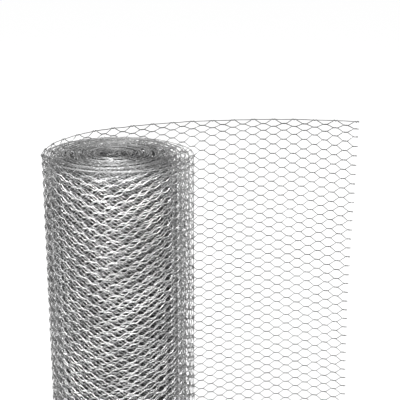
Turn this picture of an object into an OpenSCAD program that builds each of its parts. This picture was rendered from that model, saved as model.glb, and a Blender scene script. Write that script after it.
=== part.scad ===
// Roll of hexagonal wire netting, standing on its end, with its outer turns
// sprung loose and its free end drawn off round the back.
// Millimetres. The roll's axis is Z, and the netting stands on the plane z = 0.
// The netting is one continuous strip, so the whole roll is one piece.

/* [Netting] */
// Width of the strip, which is the height of the standing roll
netting_w = 500; // [250:10:1000]
// Thickness of the strip at a twist, where two wires lie on each other
netting_t = 1.4; // [1:0.1:2]

/* [Tight turns] */
// Radius of the bore that the mandrel leaves
bore_r = 20; // [12:0.5:30]
// Outside radius of the tight turns
tight_r = 76.5; // [60:0.5:100]
// Number of tight turns
tight_turns = 24; // [12:1:26]
// Depth to which the furrows between the turns show on both ends
furrow_depth = 3; // [1:0.5:6]

/* [Loose turns] */
// Number of turns that have sprung loose
loose_turns = 4; // [2:1:5]
// Gap between the loose turns on their snug side
loose_gap = 0.3; // [0.2:0.1:1]
// How far the outermost turn bulges past its snug radius
bulge = 17; // [5:1:30]
// Direction of the bulge, anticlockwise from +X
bulge_angle = -30; // [-90:5:0]

/* [Free end] */
// Radius of the bend by which the strip leaves the roll
leave_r = 146; // [120:2:180]
// Angle of that bend
leave_angle = 50; // [40:1:60]
// Radius of the easy bend that follows
ease_r = 212; // [180:2:300]
// Angle of the easy bend
ease_angle = 16.5; // [10:0.5:25]
// Radius of the last long sweep
sweep_r = 460; // [350:5:600]
// Angle of the long sweep
sweep_angle = 38; // [20:1:45]

/* [Hidden] */
$fn = 96;

leave_at = 180;                 // direction in which the free end leaves the roll
loose_step = 5;                 // angle from one point of the loose turns to the next
bend_step = 2.5;                // largest angle from one point of a free bend to the next
bulge_sharpness = 4;            // how narrow the bulge is
seat = 0.5;                     // gap between the tight turns and the first loose turn
lead_in = 0.08;                 // share of a turn over which the first loose turn lifts off
cut = 1;                        // overshoot of a cutting solid

turn_pitch = (tight_r - bore_r - netting_t) / (tight_turns - 1);
loose_pitch = netting_t + loose_gap;

// A turn's share of the bulge in a direction, from 0 to 1
function bulge_share(direction) =
    pow(pow(cos((direction - bulge_angle) / 2), 2), bulge_sharpness);

// How far the strip sinks into the tight turns where the two are one strip
function lead_in_drop(count) =
    (netting_t + seat) * max(0, 1 - count / lead_in);

// Radius of the strip's middle, count turns out from the tight turns
function loose_radius(count, direction) =
    tight_r + netting_t / 2 + seat + count * loose_pitch
    + bulge * count / loose_turns * bulge_share(direction)
    - lead_in_drop(count);

// One edge of the loose turns, side * netting_t / 2 out from the strip's middle
function loose_edge(side) = [
    for (a = [0 : loose_step : 360 * loose_turns])
        let (direction = leave_at + 360 * loose_turns - a,
             r = loose_radius(a / 360, direction) + side * netting_t / 2)
        [r * cos(direction), r * sin(direction)]
];

// A bend's points for one edge: it starts at a point of the strip's middle,
// in the given heading, and turns clockwise
function bend_edge(start, heading, r, angle, side) =
    let (steps = ceil(angle / bend_step)) [
        for (i = [1 : steps])
            let (a = angle * i / steps)
            start + bend_chord(heading, r, a) + side * netting_t / 2 * left_of(heading - a)
    ];
function bend_chord(heading, r, a) = 2 * r * sin(a / 2) * ahead(heading - a / 2);
function ahead(heading) = [cos(heading), sin(heading)];
function left_of(heading) = [-sin(heading), cos(heading)];

leave_start = loose_radius(loose_turns, leave_at) * ahead(leave_at);
leave_heading = leave_at - 90;
ease_start = leave_start + bend_chord(leave_heading, leave_r, leave_angle);
ease_heading = leave_heading - leave_angle;
sweep_start = ease_start + bend_chord(ease_heading, ease_r, ease_angle);
sweep_heading = ease_heading - ease_angle;

// One whole edge of the strip from the tight turns to the free end
function strip_edge(side) = concat(
    loose_edge(side),
    bend_edge(leave_start, leave_heading, leave_r, leave_angle, side),
    bend_edge(ease_start, ease_heading, ease_r, ease_angle, side),
    bend_edge(sweep_start, sweep_heading, sweep_r, sweep_angle, side)
);

function reversed(points) = [for (i = [len(points) - 1 : -1 : 0]) points[i]];

module furrows() {
    for (turn = [0 : tight_turns - 2])
        difference() {
            cylinder(r = bore_r + (turn + 1) * turn_pitch, h = furrow_depth + cut);
            translate([0, 0, -cut])
                cylinder(r = bore_r + turn * turn_pitch + netting_t, h = furrow_depth + 3 * cut);
        }
}

module tight_roll() {
    difference() {
        cylinder(r = tight_r, h = netting_w);
        translate([0, 0, -cut])
            cylinder(r = bore_r, h = netting_w + 2 * cut);
        translate([0, 0, netting_w - furrow_depth])
            furrows();
        translate([0, 0, -cut])
            furrows();
    }
}

module loose_strip() {
    linear_extrude(netting_w)
        polygon(concat(strip_edge(1), reversed(strip_edge(-1))));
}

module wire_netting() {
    color([0.62, 0.63, 0.64])
        union() {
            tight_roll();
            loose_strip();
        }
}

wire_netting();
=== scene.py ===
import math

import bpy
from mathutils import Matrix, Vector


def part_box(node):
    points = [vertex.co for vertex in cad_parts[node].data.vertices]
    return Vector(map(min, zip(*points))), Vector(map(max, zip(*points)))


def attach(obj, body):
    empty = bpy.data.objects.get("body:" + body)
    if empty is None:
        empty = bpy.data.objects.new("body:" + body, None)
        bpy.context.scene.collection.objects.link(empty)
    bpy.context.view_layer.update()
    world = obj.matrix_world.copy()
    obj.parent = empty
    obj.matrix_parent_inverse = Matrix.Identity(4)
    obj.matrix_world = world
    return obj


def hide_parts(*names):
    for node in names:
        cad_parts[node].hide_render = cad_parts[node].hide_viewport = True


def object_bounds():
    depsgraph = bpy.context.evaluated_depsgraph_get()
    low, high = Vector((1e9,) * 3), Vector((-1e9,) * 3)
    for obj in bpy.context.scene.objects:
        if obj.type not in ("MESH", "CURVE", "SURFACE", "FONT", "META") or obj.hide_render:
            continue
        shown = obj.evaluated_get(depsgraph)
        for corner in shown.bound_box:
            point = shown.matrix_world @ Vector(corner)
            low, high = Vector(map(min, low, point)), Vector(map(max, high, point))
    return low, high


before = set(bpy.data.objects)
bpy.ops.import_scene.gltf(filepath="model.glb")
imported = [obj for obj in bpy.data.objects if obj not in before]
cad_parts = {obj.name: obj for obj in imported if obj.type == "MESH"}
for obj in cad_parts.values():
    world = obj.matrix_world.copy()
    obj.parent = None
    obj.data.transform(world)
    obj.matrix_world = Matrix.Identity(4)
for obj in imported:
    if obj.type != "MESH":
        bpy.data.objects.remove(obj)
cadLow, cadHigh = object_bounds()
stripLow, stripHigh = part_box("wire_netting")
print("frame loaded")

# How the strip lies, seen from above, in metres and degrees. The sizes down to the bends
# are the CAD model's own.
lay = {
    "thickness": 0.0014,
    "boreRadius": 0.020,
    "tightRadius": 0.0765,
    "tightTurns": 24,
    "looseTurns": 4,
    "looseGap": 0.0003,       # between the loose turns on their snug side
    "seat": 0.0005,           # gap between the tight turns and the first loose turn
    "leadIn": 0.08,           # share of a turn over which the first loose turn lifts off
    "bulge": 0.017,           # how far the outermost turn springs past its snug radius
    "bulgeAngle": -30,        # direction of the bulge, anticlockwise from +X
    "bulgeSharpness": 4,      # how narrow the bulge is
    "leaveAt": 180,           # direction in which the free end leaves the roll
    "bends": ((0.146, 50), (0.212, 16.5), (0.460, 38)),       # of the free end: radius, angle
    "bunch": 0.00125,         # how far the tight turns bunch together
    "bunchTurns": 4.8,        # from one bunch to the next
    "bunchStart": 2.6,
    "sags": ((0.0016, 2.7), (0.0014, 6.3)),     # of the upper edge: depth, turns between two sags
    "bow": 0.0045,            # how far the columns and the cut edge bow inwards at mid height
    "angleStep": 3,           # largest angle from one point of the line to the next
}


def looseRadius(count, direction):
    # The strip's radius count turns out from the tight turns
    share = math.cos(math.radians((direction - lay["bulgeAngle"]) / 2)) ** (2 * lay["bulgeSharpness"])
    drop = (lay["thickness"] + lay["seat"]) * max(0, 1 - count / lay["leadIn"])
    snug = lay["tightRadius"] + lay["thickness"] / 2 + lay["seat"] - drop
    spread = count * (lay["thickness"] + lay["looseGap"])
    return snug + spread + lay["bulge"] * count / lay["looseTurns"] * share


def bunching(turn):
    # How far the tight turns stand out from an even winding, by turns from the bore
    phase = 2 * math.pi * (turn - lay["bunchStart"]) / lay["bunchTurns"]
    return lay["bunch"] * (math.sin(phase) + math.sin(2 * phase) / 2)


def tightRadius(turn):
    # The strip's radius in the tight turns, by turns from the bore
    turns = lay["tightTurns"]
    inner = lay["boreRadius"] + lay["thickness"] / 2
    outer = looseRadius(0, 0)
    share = turn / turns
    even = inner + (outer - inner) * share
    return even + bunching(turn) - bunching(0) * (1 - share) - bunching(turns) * share


def ahead(heading):
    return Vector((math.cos(math.radians(heading)), math.sin(math.radians(heading)), 0))


def sag(turn):
    # How far the upper edge sags, by turns inwards from where the free end leaves
    return sum(depth * math.sin(math.pi * turn / turns) ** 2 for depth, turns in lay["sags"])


def stripLine():
    # Outwards from the roll first, as the bends follow from the outermost turn. Each point
    # comes with the share of the full width that the strip has there.
    start = ahead(lay["leaveAt"]) * looseRadius(lay["looseTurns"], lay["leaveAt"])
    heading = lay["leaveAt"] - 90
    tail = []
    for radius, angle in lay["bends"]:
        steps = math.ceil(angle / lay["angleStep"])
        for i in range(1, steps + 1):
            turned = angle * i / steps
            chord = 2 * radius * math.sin(math.radians(turned / 2))
            tail.append((start + ahead(heading - turned / 2) * chord, 1))
        start = tail[-1][0]
        heading -= angle
    points = tail[::-1]
    turns = lay["looseTurns"] + lay["tightTurns"]
    for i in range(0, 360 * turns + 1, lay["angleStep"]):
        turn = i / 360
        direction = lay["leaveAt"] + i
        if turn < lay["looseTurns"]:
            radius = looseRadius(lay["looseTurns"] - turn, direction)
        else:
            radius = tightRadius(turns - turn)
        points.append((ahead(direction) * radius, 1 - sag(turn) / stripHigh.z))
    return points


def makeLine():
    bpy.ops.object.select_all(action="DESELECT")
    bpy.ops.curve.primitive_nurbs_path_add()
    line = bpy.context.object
    line.name = "strip_line"
    line.data.splines.clear()
    spline = line.data.splines.new("POLY")
    points = stripLine()
    spline.points.add(len(points) - 1)
    for point, (place, width) in zip(spline.points, points):
        point.co = (*place, 1)
        point.radius = width
    line.data.twist_mode = "Z_UP"
    line.data.use_path = True
    line.data.use_radius = True
    return line


def makeBow():
    # A lattice with three levels, of which the middle one is moved along the strip
    bpy.ops.object.select_all(action="DESELECT")
    bpy.ops.object.add(type="LATTICE", location=(0, 0, stripHigh.z / 2))
    cage = bpy.context.object
    cage.name = "strip_bow"
    cage.scale.z = stripHigh.z
    cage.data.points_u = 1
    cage.data.points_v = 1
    cage.data.points_w = 3
    cage.data.interpolation_type_w = "KEY_CATMULL_ROM"
    cage.data.points[1].co_deform.x += lay["bow"]
    return cage


# The netting laid flat, in metres: X runs along the strip from its free end, Z across it
netting = {
    "wireRadius": 0.00046,
    "edgeWireRadius": 0.0005,
    "styles": {
        # how the twists are made, and the wires' thickness as a share of the free end's
        "free": ("twisted", 1.0),
        "outer": ("twisted", 0.88),
        "loose": ("plain", 0.84),
        "tight": ("plain", 0.76),
    },
    "mesh": 0.0133,           # height of a mesh, about: it is fitted to the strip's width
    "period": 0.028,          # length in which the meshes repeat
    "twistLength": 0.007,
    "halfTurns": 3,           # half turns that two wires make round each other in a twist
    "edgeTurns": 2,           # turns of a wire round the edge wire
    "edgeRows": (0.0058, 0.0098, 0.0152, 0.0208),    # the squeezed rows next to an edge
    "edgeInset": 0.0019,      # from the strip's edge to the edge wire's middle
    "crossing": 0.0003,       # how far the wires of a plain twist pass in front and behind
}

# A wire's section has three sides. Its corners lie this far from the middle for a wire of
# radius 1, so that on average it looks as thick as a round one.
cornerReach = 1.21

# A wire's section is stretched in Z where the wire slants or winds, to stay as thick as
# where it runs level
slantStretch = 1.25
windStretch = 1.08

weld = 0.00001      # points nearer than this are one


def twisted(style):
    return netting["styles"][style][0] == "twisted"


def thickness(style):
    return netting["styles"][style][1]


def rowHeights():
    # Heights of the rows of twists, from the lower edge to the upper one
    low = stripLow.z + netting["edgeInset"]
    high = stripHigh.z - netting["edgeInset"]
    squeezed = netting["edgeRows"]
    middle = high - low - 2 * squeezed[-1]
    count = 2 * round(middle / netting["mesh"])
    regular = [low + squeezed[-1] + middle * i / count for i in range(count + 1)]
    return (
        [low] + [low + z for z in squeezed[:-1]] + regular
        + [high - z for z in squeezed[-2::-1]] + [high]
    )


rows = rowHeights()
lastRow = len(rows) - 1


def arrival(row, style):
    # How far from a row's middle the wires reach it
    if row in (0, lastRow):
        return (netting["wireRadius"] + netting["edgeWireRadius"]) * thickness(style)
    return netting["wireRadius"] * thickness(style)


def extrudeWire(path, radius, sides=3):
    # In edit mode: a ring of the wire's section, extruded from point to point. Each point
    # comes with the section's stretch there.
    here, stretch = path[0]
    bpy.ops.mesh.select_all(action="DESELECT")
    bpy.ops.mesh.primitive_circle_add(
        vertices=sides, radius=radius * cornerReach, fill_type="NOTHING",
        location=here, rotation=(0, math.pi / 2, 0),
    )
    bpy.ops.transform.resize(value=(1, 1, stretch), center_override=here)
    for there, nextStretch in path[1:]:
        bpy.ops.mesh.extrude_region_move(
            TRANSFORM_OT_translate={"value": there - here}
        )
        if nextStretch != stretch:
            bpy.ops.transform.resize(
                value=(1, 1, nextStretch / stretch), center_override=there
            )
        here, stretch = there, nextStretch


def helix(x, z, radius, start, halfTurns, steps):
    # Points of a wire that winds round a level axis; start is its angle, up being 90
    points = []
    for i in range(steps + 1):
        angle = math.radians(start + 180 * halfTurns * i / steps)
        along = x + netting["twistLength"] * i / steps
        place = Vector((along, radius * math.cos(angle), z + radius * math.sin(angle)))
        points.append((place, slantStretch if i in (0, steps) else windStretch))
    return points


def twist(x, row, style, steps=8):
    # The two wires of a twist, each with its slanting run to the next column
    z = rows[row]
    nextX = x + netting["period"] / 2
    off = netting["wireRadius"] * thickness(style)
    for way in (-1, 1):
        if twisted(style):
            path = helix(x, z, off, -90 * way, netting["halfTurns"], steps)
            side = 0
        else:
            side = -way * netting["crossing"]
            path = [
                (Vector((x, side, z - way * off)), slantStretch),
                (Vector((x + netting["twistLength"], side, z + way * off)), slantStretch),
            ]
        nextZ = rows[row + way] - way * arrival(row + way, style)
        path.append((Vector((nextX, side, nextZ)), slantStretch))
        extrudeWire(path, netting["wireRadius"] * thickness(style))


def edgeTwist(x, row, style, steps=10, plainSteps=4):
    # A wire that comes up to the edge, winds round the edge wire and goes back. A plain
    # one winds round it once.
    way = 1 if row else -1
    z = rows[row]
    nextX = x + netting["period"] / 2
    radius = arrival(row, style)
    if twisted(style):
        path = helix(x, z, radius, -90 * way, 2 * netting["edgeTurns"], steps)
        side = 0
    else:
        path = helix(x, z, radius, -90 * way, 2, plainSteps)
        side = way * netting["crossing"]
        path[0][0].y = -side
        path[-1][0].y = side
    nextZ = rows[row - way] + way * arrival(row - way, style)
    path.append((Vector((nextX, side, nextZ)), slantStretch))
    extrudeWire(path, netting["wireRadius"] * thickness(style))


def edgeWire(row, style, steps=4):
    z = rows[row]
    path = [(Vector((netting["period"] * i / steps, 0, z)), 1) for i in range(steps + 1)]
    extrudeWire(path, netting["edgeWireRadius"] * thickness(style))


def newMesh(name):
    # An empty mesh, open for editing
    bpy.ops.object.select_all(action="DESELECT")
    bpy.ops.mesh.primitive_circle_add(vertices=3, radius=netting["wireRadius"])
    made = bpy.context.object
    made.name = name
    bpy.ops.object.mode_set(mode="EDIT")
    bpy.ops.mesh.delete(type="VERT")
    return made


def addArray(piece, count, offset, merge=0):
    array = piece.modifiers.new("repeat", "ARRAY")
    array.use_relative_offset = False
    array.use_constant_offset = True
    array.constant_offset_displace = offset
    array.count = count
    array.use_merge_vertices = merge > 0
    if merge:
        array.merge_threshold = merge


def applyAll(piece):
    bpy.ops.object.select_all(action="DESELECT")
    piece.select_set(True)
    bpy.context.view_layer.objects.active = piece
    for modifier in list(piece.modifiers):
        bpy.ops.object.modifier_apply(modifier=modifier.name)


def makeColumn(column, style):
    # The regular twists of one column, arrayed from its lowest one
    squeezed = len(netting["edgeRows"])
    first = squeezed + 1
    first += (first + column) % 2
    last = lastRow - squeezed - 1
    part = newMesh(f"{style}_column_{column}")
    twist(netting["period"] / 2 * column, first, style)
    bpy.ops.object.mode_set(mode="OBJECT")
    addArray(part, (last - first) // 2 + 1, (0, 0, rows[first + 2] - rows[first]))
    applyAll(part)
    return part


def makeEdges(style):
    # Both edge wires, the wires that wind round them and the squeezed rows
    squeezed = len(netting["edgeRows"])
    part = newMesh(f"{style}_edges")
    for row in [*range(squeezed + 1), *range(lastRow - squeezed, lastRow + 1)]:
        x = netting["period"] / 2 * (row % 2)
        if row in (0, lastRow):
            edgeTwist(x, row, style)
            edgeWire(row, style)
        else:
            twist(x, row, style)
    bpy.ops.object.mode_set(mode="OBJECT")
    return part


def makeTile(style):
    # One period of the strip over its whole width
    parts = [makeColumn(0, style), makeColumn(1, style), makeEdges(style)]
    bpy.ops.object.select_all(action="DESELECT")
    for part in parts:
        part.select_set(True)
    bpy.context.view_layer.objects.active = parts[0]
    bpy.ops.object.join()
    tile = bpy.context.object
    tile.name = f"{style}_tile"
    bpy.ops.object.mode_set(mode="EDIT")
    bpy.ops.mesh.select_all(action="SELECT")
    bpy.ops.mesh.remove_doubles(threshold=weld)
    bpy.ops.object.mode_set(mode="OBJECT")
    print(f"{style} tile: {len(tile.data.polygons)} faces")
    return tile


# Small unevenness of the wires and of the whole strip: size of the waves, height, direction
unevenness = {
    "wires": (0.008, 0.0009, "RGB_TO_XYZ"),
    "strip": (0.07, 0.0012, "RGB_TO_XYZ"),
    "slip": (0.10, 0.001, "X"),
}


def addUnevenness(piece):
    for name, (size, height, direction) in unevenness.items():
        texture = bpy.data.textures.get(name) or bpy.data.textures.new(name, "CLOUDS")
        texture.noise_scale = size
        texture.noise_depth = 1
        texture.cloud_type = "COLOR"
        displace = piece.modifiers.new(name, "DISPLACE")
        displace.texture = texture
        displace.texture_coords = "LOCAL"
        displace.direction = direction
        displace.strength = height
        displace.mid_level = 0.5


# The stretches of the strip, from the free end inwards: name, number of periods, style and
# how much the meshes were pulled or squeezed in length
stretches = (
    ("free_end", 18, "free", 1.0),
    ("outer_turn", 20, "outer", 1.0199),
    ("loose_turn_1", 18, "loose", 1.0121),
    ("loose_turn_2", 18, "loose", 0.9790),
    ("loose_turn_3", 18, "loose", 0.9865),
    ("tight_turns_outer", 87, "tight", 1.0109),
    ("tight_turns_middle", 87, "tight", 1.0109),
    ("tight_turns_inner", 86, "tight", 1.0109),
)


def makeStretch(name, tile, start, count, pull, bow, line):
    bpy.ops.object.select_all(action="DESELECT")
    tile.select_set(True)
    bpy.context.view_layer.objects.active = tile
    bpy.ops.object.duplicate()
    piece = bpy.context.object
    piece.name = name
    piece.data.name = name
    addArray(piece, count, (netting["period"], 0, 0), weld)
    applyAll(piece)
    piece.location.x = start
    piece.scale.x = pull
    bpy.ops.object.transform_apply(location=True, rotation=False, scale=True)
    bpy.ops.object.mode_set(mode="EDIT")
    bpy.ops.mesh.select_all(action="SELECT")
    bpy.ops.mesh.fill_holes(sides=3)
    bpy.ops.mesh.select_all(action="SELECT")
    bpy.ops.mesh.normals_make_consistent(inside=False)
    bpy.ops.object.mode_set(mode="OBJECT")
    addUnevenness(piece)
    piece.modifiers.new("bow", "LATTICE").object = bow
    curve = piece.modifiers.new("wind", "CURVE")
    curve.object = line
    curve.deform_axis = "POS_X"
    applyAll(piece)
    bpy.ops.object.shade_smooth()
    return piece


def countTriangles(piece):
    return sum(len(face.vertices) - 2 for face in piece.data.polygons)


# The zinc on the wires: bright and dull crystals, and painted shade that darkens the wires inside the
# roll, along both edges and on the free end
zinc = {
    "bright": (0.85, 0.85, 0.85, 1),
    "dull": (0.24, 0.24, 0.24, 1),
    "spangle": 0.002,         # size of a crystal
    "spangleShare": 0.6,
    "patch": 1 / 18,          # size of a patch of duller or brighter crystals
    "patchShare": 0.4,
    "contrast": 3.0,          # between bright and dull
    "metallic": 0.9,
    "roughness": 0.22,
    "dullRoughness": 0.35,    # how much rougher the dull zinc is
    "edgeRoughness": 0.15,    # how much rougher the strip's edges are
    "bumpStrength": 0.3,
    "bumpHeight": 0.00005,
    # Changes of painted shade: where they begin and end, and from what tone to what
    # painted shade: the free end's wires are made darker beyond 0.12 m from the roll's axis
    "free": (0.100, 0.120, 1.0, 0.3),           # by distance from the roll's axis
    # painted shade: the turns within 0.07 m of the roll's axis are made darker, for the deep shade
    # inside the roll
    "inside": (0.070, 0.079, 0.38, 1.0),        # by distance from the roll's axis
    # a mask of the strip's upper and lower edges: they get painted shade and more roughness
    "edges": (0.236, 0.246, 0, 1),              # by distance from mid height
    # painted shade: how dark the edges are made, damping their highlight on the roll's end
    "edgePaintedShade": 0.47,
}


class Value:
    # A socket that takes part in Python expressions
    def __init__(self, finish, socket):
        self.finish = finish
        self.socket = socket

    def maths(self, operation, first, second):
        return self.finish.add("ShaderNodeMath", {"operation": operation}, {0: first, 1: second})

    def __add__(self, other):
        return self.maths("ADD", self, other)

    def __mul__(self, other):
        return self.maths("MULTIPLY", self, other)

    def __sub__(self, other):
        return self.maths("SUBTRACT", self, other)

    def __rsub__(self, other):
        return self.maths("SUBTRACT", other, self)

    __radd__ = __add__
    __rmul__ = __mul__


class Finish:
    # A new material and its nodes
    def __init__(self, name):
        self.material = bpy.data.materials.new(name)
        self.material.use_nodes = True
        self.tree = self.material.node_tree
        self.tree.nodes.clear()

    def add(self, kind, settings=None, inputs=None, output=0):
        # Any node: its settings are set first, then the values or links of its sockets
        node = self.tree.nodes.new(kind)
        for key, value in (settings or {}).items():
            setattr(node, key, value)
        for key, value in (inputs or {}).items():
            if isinstance(value, Value):
                self.tree.links.new(value.socket, node.inputs[key])
            else:
                node.inputs[key].default_value = value
        return Value(self, node.outputs[output]) if node.outputs else node


def buildZinc():
    finish = Finish("galvanised_wire")
    place = finish.add("ShaderNodeTexCoord", output="Object")

    def noise(size, detail):
        inputs = {"Vector": place, "Scale": 1 / size, "Detail": detail}
        return finish.add("ShaderNodeTexNoise", {}, inputs)

    def change(measure, name):
        begins, ends, first, last = zinc[name]
        return finish.add(
            "ShaderNodeMapRange", {"interpolation_type": "SMOOTHSTEP"},
            {"Value": measure, "From Min": begins, "From Max": ends, "To Min": first, "To Max": last},
        )

    spangle = noise(zinc["spangle"], detail=3.0)
    patch = noise(zinc["patch"], detail=2.0)
    mottle = spangle * zinc["spangleShare"] + patch * zinc["patchShare"]
    dullness = (mottle - 0.5) * zinc["contrast"] + 0.5
    colour = finish.add(
        "ShaderNodeMix", {"data_type": "RGBA"},
        {0: dullness, 6: zinc["bright"], 7: zinc["dull"]}, output=2,
    )
    level = finish.add("ShaderNodeVectorMath", {"operation": "MULTIPLY"}, {0: place, 1: (1, 1, 0)})
    distance = finish.add("ShaderNodeVectorMath", {"operation": "LENGTH"}, {0: level}, output="Value")
    height = finish.add("ShaderNodeSeparateXYZ", {}, {0: place}, output="Z")
    fromMiddle = finish.add("ShaderNodeMath", {"operation": "ABSOLUTE"}, {0: height - stripHigh.z / 2})
    # Painted shade: the colour is darkened inside the roll, along both edges and on the free end
    inside = change(distance, "inside")
    edge = change(fromMiddle, "edges")
    paintedShade = change(distance, "free") * (inside + (zinc["edgePaintedShade"] - inside) * edge)
    shade = finish.add("ShaderNodeVectorMath", {"operation": "SCALE"}, {0: colour, "Scale": paintedShade})
    bump = finish.add("ShaderNodeBump", {}, {
        "Strength": zinc["bumpStrength"],
        "Distance": zinc["bumpHeight"],
        "Height": spangle,
    })
    roughness = zinc["roughness"] + zinc["dullRoughness"] * dullness + zinc["edgeRoughness"] * edge
    shader = finish.add("ShaderNodeBsdfPrincipled", {}, {
        "Base Color": shade,
        "Metallic": zinc["metallic"],
        "Roughness": roughness,
        "Normal": bump,
    })
    finish.add("ShaderNodeOutputMaterial", {}, {"Surface": shader})
    return finish.material


def makeNetting():
    galvanised = buildZinc()
    line = makeLine()
    bow = makeBow()
    print("zinc, line and bow made")
    tiles = {style: makeTile(style) for style in netting["styles"]}
    start = 0
    total = 0
    for name, count, style, pull in stretches:
        piece = makeStretch(name, tiles[style], start, count, pull, bow, line)
        start += count * netting["period"] * pull
        piece.data.materials.clear()
        piece.data.materials.append(galvanised)
        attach(piece, "root")
        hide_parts("wire_netting")
        triangles = countTriangles(piece)
        total += triangles
        print(f"{name}: {triangles} triangles")
    print(f"all the netting: {total} triangles, {start:.2f} m")
    for helper in (*tiles.values(), line, bow):
        bpy.data.objects.remove(helper)


makeNetting()

# Floor, studio light and camera
studio = {
    "floorSize": 60,
    "floorColour": (0.1, 0.1, 0.1, 1),
    "floorRoughness": 0.9,
    "floorGlow": 9.3,
    "worldColour": (1, 1, 1, 1),
    "world": 0.34,
    "lightAim": 0.6,          # share of the height that the lights are aimed at
    "lights": (
        # name, place, size, watts
        ("key_softbox", (-0.15, -1.15, 2.2), (3.5, 0.7), 205),
        ("back_left", (-0.9, 2.2, 0.8), (0.6, 0.8), 9),
        ("back_right", (0.9, 2.2, 0.8), (0.6, 0.8), 9),
        ("back_high", (0, 1.3, 2.4), (3.5, 0.7), 12),
    ),
    "cameraPlace": (0.103, -1.155, 0.792),
    "cameraDip": 17,          # degrees below level
    "lens": 90,
    "sensor": 36,
    "clip": (0.05, 200),
}


def makeFloor():
    bpy.ops.object.select_all(action="DESELECT")
    bpy.ops.mesh.primitive_plane_add(size=studio["floorSize"])
    floor = bpy.context.object
    floor.name = "floor"
    finish = Finish("pale_floor")
    shader = finish.add("ShaderNodeBsdfPrincipled", {}, {
        "Base Color": studio["floorColour"],
        "Roughness": studio["floorRoughness"],
        "Emission Color": studio["floorColour"],
        "Emission Strength": studio["floorGlow"],
    })
    finish.add("ShaderNodeOutputMaterial", {}, {"Surface": shader})
    floor.data.materials.append(finish.material)
    floor.visible_glossy = False
    floor.visible_diffuse = False


def makeWorld():
    world = bpy.data.worlds.new("studio")
    bpy.context.scene.world = world
    world.use_nodes = True
    background = world.node_tree.nodes["Background"]
    background.inputs["Color"].default_value = studio["worldColour"]
    background.inputs["Strength"].default_value = studio["world"]


def addLight(name, place, aim, size, watts):
    bpy.ops.object.light_add(type="AREA", location=place)
    light = bpy.context.object
    light.name = name
    light.data.shape = "RECTANGLE"
    light.data.size, light.data.size_y = size
    light.data.energy = watts
    light.visible_camera = False
    light.rotation_mode = "QUATERNION"
    light.rotation_quaternion = (Vector(aim) - Vector(place)).to_track_quat("-Z", "Y")


def addCamera():
    tilt = math.radians(90 - studio["cameraDip"])
    bpy.ops.object.camera_add(location=studio["cameraPlace"], rotation=(tilt, 0, 0))
    camera = bpy.context.object
    camera.name = "camera"
    camera.data.lens = studio["lens"]
    camera.data.sensor_width = studio["sensor"]
    camera.data.clip_start, camera.data.clip_end = studio["clip"]
    bpy.context.scene.camera = camera


makeFloor()
makeWorld()
middle = Vector((0, 0, cadHigh.z * studio["lightAim"]))
for name, place, size, watts in studio["lights"]:
    addLight(name, place, middle, size, watts)
addCamera()
bpy.context.scene.view_settings.view_transform = "Standard"
bpy.context.scene.view_settings.look = "None"
print("floor, lights and camera placed")
